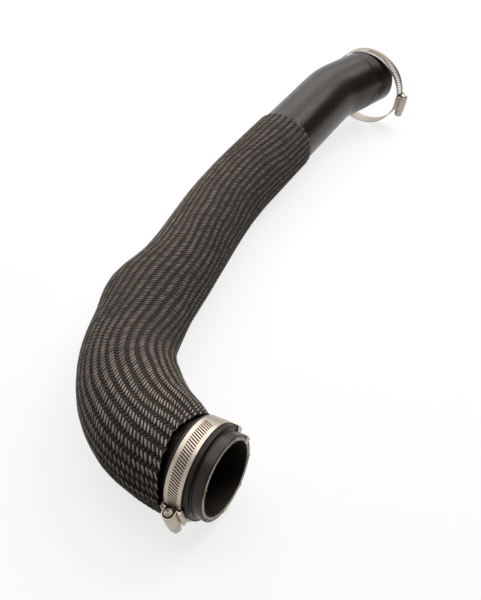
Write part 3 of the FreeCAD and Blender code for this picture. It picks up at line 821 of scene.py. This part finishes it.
def sleeve_grid(graph, inputs, columns, rows):
    """The hose's line as a curve, and a flat grid with its two shares, to lay round the hose."""
    curve = graph.wire("GeometryNodeMeshToCurve", {}, {"Mesh": inputs["Geometry"]})
    grid, shares = graph.wires("GeometryNodeMeshGrid", {}, {
        "Vertices X": inputs[columns], "Vertices Y": inputs[rows]}, "Mesh", "UV Map")
    return (curve, grid, *shares.parts()[:2])


def moved(graph, geometry, place):
    return graph.wire("GeometryNodeSetPosition", {}, {"Geometry": geometry, "Position": place})


def cloth_tree(sizes, hose, last):
    """Ribbed tube of cloth with a lining, closed at both cut edges."""
    tree, graph, inputs, identifiers = new_geometry_tree(
        "sleeve cloth", Int=("Columns", "Rows"), Float=("Ribs", "Rib depth", "Thickness"), Material=("Cloth",))
    curve, grid, turn, row = sleeve_grid(graph, inputs, "Columns", "Rows")
    edge = 0.0004
    out = (row / OUTSIDE_SHARE).maths("MINIMUM", 1.0)
    back = ((row - OUTSIDE_SHARE) / (1 - OUTSIDE_SHARE)).maths("MAXIMUM", 0.0)
    lining = row.maths("GREATER_THAN", OUTSIDE_SHARE + edge) * row.maths("LESS_THAN", 1 - edge)
    straight = (out - back) * (last - sizes.first) + sizes.first
    distance = straight + edge_stray(graph, sizes, turn, straight, last)
    crest = (turn * inputs["Ribs"] * math.pi).maths("COSINE").maths("ABSOLUTE")
    valley = (1.0 - crest.maths("POWER", 0.8)) * inputs["Rib depth"]
    inset = valley * (1.0 - lining) + inputs["Thickness"] * lining
    depth = inset + fold_depth(graph, turn, distance)
    tube = moved(graph, grid, sleeve_point(graph, curve, sizes, hose, distance, turn, depth))
    knit = graph.vector(turn * inputs["Ribs"], distance / sizes.stitch_pitch, 0.0)
    mapped = stored(graph, tube, "knit", knit, "FLOAT2", "CORNER")
    joined = graph.wire("GeometryNodeMergeByDistance", {}, {"Geometry": mapped, "Distance": 0.01 * MM})
    end_tree(graph, joined, inputs["Cloth"])
    return tree, identifiers


def stitch_tree(sizes, hose, last):
    """Slanted yarn stitches in a column along each rib."""
    tree, graph, inputs, identifiers = new_geometry_tree(
        "sleeve stitches", Int=("Ribs", "Stitches", "Seed"), Material=("Yarn",),
        Float=("Rib offset", "Slant", "Depth", "Length share", "Width share", "Height", "Sheen stretch tone"))
    curve, grid, column, row = sleeve_grid(graph, inputs, "Ribs", "Stitches")
    jitter = random_parts(graph, inputs["Seed"])
    turn = (column * (inputs["Ribs"] - 1.0) + inputs["Rib offset"]) / inputs["Ribs"]
    margin, slip, sway = 1 * MM, 0.5 * MM, 0.14
    straight = row * (last - sizes.first - 2 * margin) + (sizes.first + margin)
    distance = straight + edge_stray(graph, sizes, turn, straight, last) + (jitter[0] - 0.5) * slip
    depth = inputs["Depth"] + fold_depth(graph, turn, distance)
    small_step, small_turn = 0.5 * MM, 0.002
    place = sleeve_point(graph, curve, sizes, hose, distance, turn, depth)
    along = sleeve_point(graph, curve, sizes, hose, distance + small_step, turn, depth) - place
    round_it = sleeve_point(graph, curve, sizes, hose, distance, turn + small_turn, depth) - place
    pitch = along.vector("LENGTH", output=1) * (sizes.stitch_pitch / small_step)
    rib = round_it.vector("LENGTH", output=1) / inputs["Ribs"] * (1 / small_turn)
    normal = round_it.vector("CROSS_PRODUCT", along).vector("NORMALIZE")
    lean = inputs["Slant"] + (jitter[1] - 0.5) * sway
    ahead = along.vector("NORMALIZE")
    dash = ahead * lean.maths("COSINE") - normal.vector("CROSS_PRODUCT", ahead) * lean.maths("SINE")
    size = graph.vector(inputs["Height"], pitch * inputs["Width share"], rib * inputs["Length share"])
    swing = rib_swing(graph, sizes, distance, turn)
    tone = jitter[2] + yarn_tone(graph, swing, distance, inputs["Sheen stretch tone"])
    end_in_strands(graph, moved(graph, grid, place), dash, normal, size, (6, 4), tone, inputs["Yarn"])
    return tree, identifiers


def make_sleeve(sizes, hose, finishes):
    line, places = moulded_line(hose)
    last = places[-1] - sizes.bare_length
    tree, identifiers = cloth_tree(sizes, hose, last)
    textile = cloth_material(finishes)
    cloth = grown_mesh("sleeve_cloth", tree, identifiers, {
        "Columns": sizes.ribs * RIB_FACES + 1, "Rows": CLOTH_ROWS, "Ribs": float(sizes.ribs),
        "Rib depth": sizes.rib_depth, "Thickness": sizes.thickness, "Cloth": textile}, line_base("cloth_line", line))
    show("sleeve_cloth", cloth, [textile], "hose", ("knitted_sleeve",))
    tree, identifiers = stitch_tree(sizes, hose, last)
    # Valley stitches run from the yarn's shaded colour down to the cloth's: painted shade in the valleys between the
    # ribs.
    yarns = {"rib_stitches": yarn_material("rib_yarn", finishes.light_yarn, finishes.dark_yarn),
             "valley_stitches": yarn_material("valley_yarn", finishes.dark_yarn, finishes.cloth)}
    rows = round((last - sizes.first) / sizes.stitch_pitch)
    for name, (offset, side, depth, long, wide, tall, seed, sheen_stretch_tone) in STITCHES.items():
        stitches = grown_mesh(name, tree, identifiers, {
            "Ribs": sizes.ribs, "Stitches": rows, "Rib offset": offset, "Slant": side * sizes.slant,
            "Depth": depth * MM, "Length share": long, "Width share": wide, "Height": tall * sizes.stitch_height,
            "Seed": seed, "Sheen stretch tone": sheen_stretch_tone, "Yarn": yarns[name]}, line_base(name + "_line", line))
        show(name, stitches, [yarns[name]], "hose")


def softened_copy(node, width):
    """A copy of a pressed piece's mesh with its sharp edges rounded."""
    form = bmesh.new()
    form.from_mesh(frame["nodes"][node].data)
    bmesh.ops.remove_doubles(form, verts=form.verts, dist=0.005 * MM)
    bmesh.ops.dissolve_limit(form, angle_limit=math.radians(2.0), verts=form.verts, edges=form.edges)
    sharp = [edge for edge in form.edges if edge.is_manifold and edge.calc_face_angle() > math.radians(32)]
    bmesh.ops.bevel(form, geom=sharp, offset=width, offset_type="OFFSET", segments=2, profile=0.5,
                    affect="EDGES", clamp_overlap=True)
    bmesh.ops.triangulate(form, faces=form.faces)
    mesh = bpy.data.meshes.new(node)
    form.to_mesh(mesh)
    form.free()
    mesh.shade_smooth()
    mesh.set_sharp_from_angle(angle=CREASE)
    return mesh


def ring_axis(sizes, which):
    if which == "lower":
        return Vector((1.0, 0.0, 0.0))
    heading, lean = sizes.upper_ring_heading, sizes.upper_ring_lean
    return Vector((math.sin(heading) * math.cos(lean), math.cos(heading) * math.cos(lean), math.sin(lean)))


def clip_colour(finishes, which):
    # The loose clip's colour is its steel painted darker, as shade.
    return finishes.steel if which == "lower" else finishes.shaded_loose_steel


def make_clip_strips(sizes, finishes):
    for which in CLIP_ENDS:
        steel = steel_material(which + "_strip_steel", clip_colour(finishes, which), ring_axis(sizes, which))
        band = frame["nodes"][which + "_clip_band"]
        band.data.materials.clear()
        band.data.materials.append(steel)
        pressed = [which + "_clip_housing"]
        if which == "lower":
            pressed.append("lower_clip_retaining_hook")
        for node in pressed:
            show(node + "_pressed", softened_copy(node, sizes.edge_round), [steel], "hose", (node,))


def hex_radius(across, turns):
    return across / 2 / np.cos((turns + math.pi / 6) % (math.pi / 3) - math.pi / 6)


def screw_rings(sizes, columns=60):
    """Rings of a worm screw along its axis: domed nose, thread, washer face and chamfered hex."""
    turns = np.linspace(0.0, FULL_TURN, columns, endpoint=False)
    round_it = np.ones(columns)
    tip, root = sizes.screw_diameter / 2, sizes.screw_diameter / 2 - sizes.thread_depth
    start, seat = -sizes.housing_length / 2 - sizes.nose, sizes.housing_length / 2 + sizes.running_gap
    dome, thread_start, run_in = 1.2 * MM, start + 1.8 * MM, 1.5 * MM
    bevel, chamfer = 0.2 * MM, 0.9 * MM
    rings = []
    for swing in np.linspace(0.02, math.pi / 2, 7):
        rings.append((start + dome * (1 - math.sin(swing)), round_it * root * math.cos(math.pi / 2 - swing)))
    for place in np.arange(thread_start, seat - 0.3 * MM, sizes.thread_pitch / 12):
        phase = (place / sizes.thread_pitch - turns / FULL_TURN) % 1.0
        ridge = np.clip(1.5 - np.abs(phase - 0.5) * 4.6, 0.0, 1.0)
        rings.append((place, root + (tip - root) * ridge * min(1.0, (place - thread_start) / run_in)))
    flange, back = sizes.flange_diameter / 2, seat + sizes.flange_length
    hexagon, end = hex_radius(sizes.hex_across, turns), back + sizes.hex_length
    rings += [(seat, round_it * root), (seat, round_it * (flange - bevel)), (seat + bevel, round_it * flange),
              (back - 0.25 * MM, round_it * flange), (back, round_it * (flange - 0.3 * MM)),
              (back, hexagon + 0.15 * MM), (back + 0.25 * MM, hexagon)]
    for share_up in (0.0, 0.35, 0.7, 1.0):
        cone = sizes.hex_across / 2 * (1.15 - 0.16 * share_up)
        rings.append((end - chamfer * (1 - share_up), np.minimum(hexagon, cone)))
    rings.append((end, round_it * 0.4 * MM))
    places = np.array([place for place, _ in rings])
    radii = np.array([radius for _, radius in rings])
    along = np.repeat(places[:, None], columns, axis=1)
    return np.stack([radii * np.cos(turns), along, radii * -np.sin(turns)], -1), places


def capped(mesh, rows, columns):
    """Closes both ends of an open ring mesh with a face each."""
    form = bmesh.new()
    form.from_mesh(mesh)
    form.verts.ensure_lookup_table()
    for first in (0, (rows - 1) * columns):
        form.faces.new(form.verts[first:first + columns])
    bmesh.ops.recalc_face_normals(form, faces=form.faces)
    form.to_mesh(mesh)
    form.free()
    return mesh


def slotted(mesh, sizes):
    """Cuts the screwdriver slot across the end of the hex."""
    end = sizes.housing_length / 2 + sizes.running_gap + sizes.flange_length + sizes.hex_length
    cutter_mesh = bpy.data.meshes.new("slot_cutter")
    form = bmesh.new()
    bmesh.ops.create_cube(form, size=1.0, matrix=Matrix.Translation((0.0, end, 0.0)) @ Matrix.Diagonal(
        (2 * sizes.hex_across, 2 * sizes.head_slot, sizes.head_slot, 1.0)))
    form.to_mesh(cutter_mesh)
    form.free()
    cutter, screw = add_object("slot_cutter", cutter_mesh), add_object("slotted_screw", mesh)
    modifier = screw.modifiers.new("slot", "BOOLEAN")
    modifier.operation, modifier.solver, modifier.object = "DIFFERENCE", "EXACT", cutter
    cut = evaluated_mesh(screw)
    for item in (cutter, screw):
        bpy.data.objects.remove(item)
    cut.set_sharp_from_angle(angle=CREASE)
    return cut


def make_clip_screws(sizes, finishes):
    joints = {joint["child"]: joint for joint in frame["record"]["behaviour"]["joints"]}
    for which in CLIP_ENDS:
        joint = joints[which + "_screw"]
        axis, ring = Vector(joint["axis"]), ring_axis(sizes, which)
        rings, places = screw_rings(sizes)
        mesh = slotted(capped(ring_mesh(which + "_screw", rings, False, places), *rings.shape[:2]), sizes)
        turn = Matrix((axis.cross(ring), axis, ring)).transposed().to_4x4()
        mesh.transform(Matrix.Translation(joint["pos_m"]) @ turn)
        steel = steel_material(which + "_screw_steel", clip_colour(finishes, which), axis)
        show(which + "_worm_screw", mesh, [steel], which + "_screw", (which + "_clip_screw",))


def fibre_tree():
    """Tufts of cut fibre on points, each fibre a thin tapered strand."""
    tree, graph, inputs, identifiers = new_geometry_tree(
        "mouth fibres", Float=("Strand length", "Strand width"), Int=("Seed",), Material=("Fibre",))
    random = random_parts(graph, inputs["Seed"])
    spoke = graph.wire("GeometryNodeInputPosition", {}, {}).vector("NORMALIZE")
    tangent = spoke.vector("CROSS_PRODUCT", (1.0, 0.0, 0.0))
    strand = tangent + spoke * (random[0] - 0.5) * 1.2 + graph.vector(random[1] * 0.5, 0.0, 0.0)
    width = inputs["Strand width"]
    size = graph.vector(width, width, inputs["Strand length"] * (random[2] + 0.4))
    end_in_strands(graph, inputs["Geometry"], strand, spoke, size, (5, 6), random[1], inputs["Fibre"])
    return tree, identifiers


def make_fibres(sizes, hose, finishes):
    draw = np.random.default_rng(7)
    middle, proud = hose.bore_radius + hose.wall * 0.5, 0.05 * MM
    turn_spread, radius_spread = 0.035, 0.5 * MM
    points = []
    for place in FIBRE_PLACES:
        for turn, radius in zip(draw.normal(math.radians(place), turn_spread, sizes.fibres),
                                draw.normal(middle, radius_spread, sizes.fibres)):
            points.append((proud, radius * math.cos(turn), radius * math.sin(turn)))
    base = bpy.data.meshes.new("fibre_points")
    base.from_pydata(points, [], [])
    tree, identifiers = fibre_tree()
    strands = fibre_material(finishes)
    tufts = grown_mesh("mouth_fibres", tree, identifiers, {
        "Strand length": sizes.fibre_length, "Strand width": sizes.fibre_width, "Seed": 11, "Fibre": strands}, base)
    show("mouth_fibres", tufts, [strands], "hose")


def make_floor(sizes, finishes):
    lowest, bend = CAD_BOX[0].z - sizes.floor_drop, FLOOR_REACH * 0.5
    rows = [(-FLOOR_REACH, lowest), (bend, lowest)]
    rows += [(bend + FLOOR_RISE * math.sin(turn), lowest + FLOOR_RISE * (1 - math.cos(turn)))
             for turn in np.linspace(0.1, math.pi / 2, 12)]
    rows.append((bend + FLOOR_RISE, lowest + 2 * FLOOR_REACH))
    points = [FLOOR_HEADING * place + FLOOR_SIDE * across + Vector((0.0, 0.0, height))
              for place, height in rows for across in (-2 * FLOOR_REACH, 2 * FLOOR_REACH)]
    faces = [(2 * row, 2 * row + 1, 2 * row + 3, 2 * row + 2) for row in range(len(rows) - 1)]
    mesh = bpy.data.meshes.new("floor")
    mesh.from_pydata([tuple(point) for point in points], [], faces)
    mesh.materials.append(floor_material(sizes, finishes))
    floor = add_object("floor", mesh)


def aim(item, place, view):
    item.location = place
    item.rotation_mode = "QUATERNION"
    item.rotation_quaternion = view.to_track_quat("-Z", "Y")


def add_lamp(name, place, target, width, watts):
    data = bpy.data.lights.new(name, "AREA")
    data.energy, data.shape, data.size = watts, "DISK", width
    aim(add_object(name, data), place, Vector(target) - Vector(place))


def make_sky(sizes, finishes):
    """Even light all round; the camera looks into plain white, and gloss and metal into white and a dark room."""
    world = bpy.data.worlds.new("studio")
    world.use_nodes = True
    bpy.context.scene.world = world
    graph = Graph(world.node_tree)
    towards = graph.wire("ShaderNodeTexCoord", {}, {}, "Generated").vector("DOT_PRODUCT", DARK_SIDE, 1)
    seen, gloss = looked_at(graph)
    unlit = graph.span(towards, *SKY_DUSK, kind="SMOOTHSTEP") * (1.0 - seen + gloss)
    sockets = world.node_tree.nodes["Background"].inputs
    graph.feed(sockets["Color"], graph.mix_colour(unlit, WHITE, opaque(finishes.dark_room)))
    graph.feed(sockets["Strength"], seen * (1.0 - sizes.sky) + sizes.sky)


def make_camera(sizes):
    data = bpy.data.cameras.new("camera")
    data.lens, data.sensor_width, data.sensor_fit = sizes.focal_length, 36.0, "AUTO"
    data.clip_start, data.clip_end = 0.01, 50.0
    camera = add_object("camera", data)
    aim(camera, sizes.camera_place, Vector(sizes.camera_view))
    bpy.context.scene.camera = camera


class HOSE_OT_rubber(bpy.types.Operator):
    """Mould the rubber hose with its lips and collar"""

    bl_idname = "hose.rubber"
    bl_label = "Rubber hose"

    def execute(self, context):
        make_hose(context.scene.hose_sizes, context.scene.hose_finishes)
        return {"FINISHED"}


class HOSE_OT_sleeve(bpy.types.Operator):
    """Knit the ribbed sleeve and its stitches"""

    bl_idname = "hose.sleeve"
    bl_label = "Knitted sleeve"

    def execute(self, context):
        make_sleeve(context.scene.hose_sleeve, context.scene.hose_sizes, context.scene.hose_finishes)
        return {"FINISHED"}


class HOSE_OT_clip_strips(bpy.types.Operator):
    """Finish the clips' bands, housings and retaining hook"""

    bl_idname = "hose.clip_strips"
    bl_label = "Clip bands and housings"

    def execute(self, context):
        make_clip_strips(context.scene.hose_clips, context.scene.hose_finishes)
        return {"FINISHED"}


class HOSE_OT_clip_screws(bpy.types.Operator):
    """Turn the clips' worm screws"""

    bl_idname = "hose.clip_screws"
    bl_label = "Clip screws"

    def execute(self, context):
        make_clip_screws(context.scene.hose_clips, context.scene.hose_finishes)
        return {"FINISHED"}


class HOSE_OT_fibres(bpy.types.Operator):
    """Lay the cut reinforcing fibres that show at the mouth"""

    bl_idname = "hose.fibres"
    bl_label = "Mouth fibres"

    def execute(self, context):
        make_fibres(context.scene.hose_clips, context.scene.hose_sizes, context.scene.hose_finishes)
        return {"FINISHED"}


class HOSE_OT_stage(bpy.types.Operator):
    """Set the floor, sky, lamps and camera"""

    bl_idname = "hose.stage"
    bl_label = "Stage"

    def execute(self, context):
        scene = context.scene
        stage = scene.hose_stage
        scene.view_settings.view_transform = "Standard"
        make_floor(stage, scene.hose_finishes)
        make_sky(stage, scene.hose_finishes)
        add_lamp("overhead", *OVERHEAD_LAMP, stage.overhead_power)
        add_lamp("back", *BACK_LAMP, stage.back_power)
        make_camera(stage)
        return {"FINISHED"}


OPERATORS = (HOSE_OT_rubber, HOSE_OT_sleeve, HOSE_OT_clip_strips, HOSE_OT_clip_screws, HOSE_OT_fibres, HOSE_OT_stage)
SETTINGS = {"hose_sizes": HoseSizes, "hose_sleeve": SleeveSizes, "hose_clips": ClipSizes,
            "hose_finishes": Finishes, "hose_stage": StageSizes}


class HOSE_PT_panel(bpy.types.Panel):
    """Settings and steps of the hose"""

    bl_label = "Charge air hose"
    bl_idname = "HOSE_PT_panel"
    bl_space_type = "VIEW_3D"
    bl_region_type = "UI"
    bl_category = "Hose"

    def draw(self, context):
        for operator in OPERATORS:
            self.layout.operator(operator.bl_idname)
        for holder, group in SETTINGS.items():
            box = self.layout.box()
            box.label(text=group.__doc__)
            for name in group.__annotations__:
                box.prop(getattr(context.scene, holder), name)


CLASSES = (*SETTINGS.values(), *OPERATORS, HOSE_PT_panel)


def register():
    for item in CLASSES:
        bpy.utils.register_class(item)
    for holder, group in SETTINGS.items():
        setattr(bpy.types.Scene, holder, PointerProperty(type=group))


def unregister():
    for holder in SETTINGS:
        delattr(bpy.types.Scene, holder)
    for item in reversed(CLASSES):
        bpy.utils.unregister_class(item)


def main():
    register()
    bpy.ops.hose.rubber()
    bpy.ops.hose.sleeve()
    bpy.ops.hose.clip_strips()
    bpy.ops.hose.clip_screws()
    bpy.ops.hose.fibres()
    bpy.ops.hose.stage()


if __name__ == "__main__":
    main()
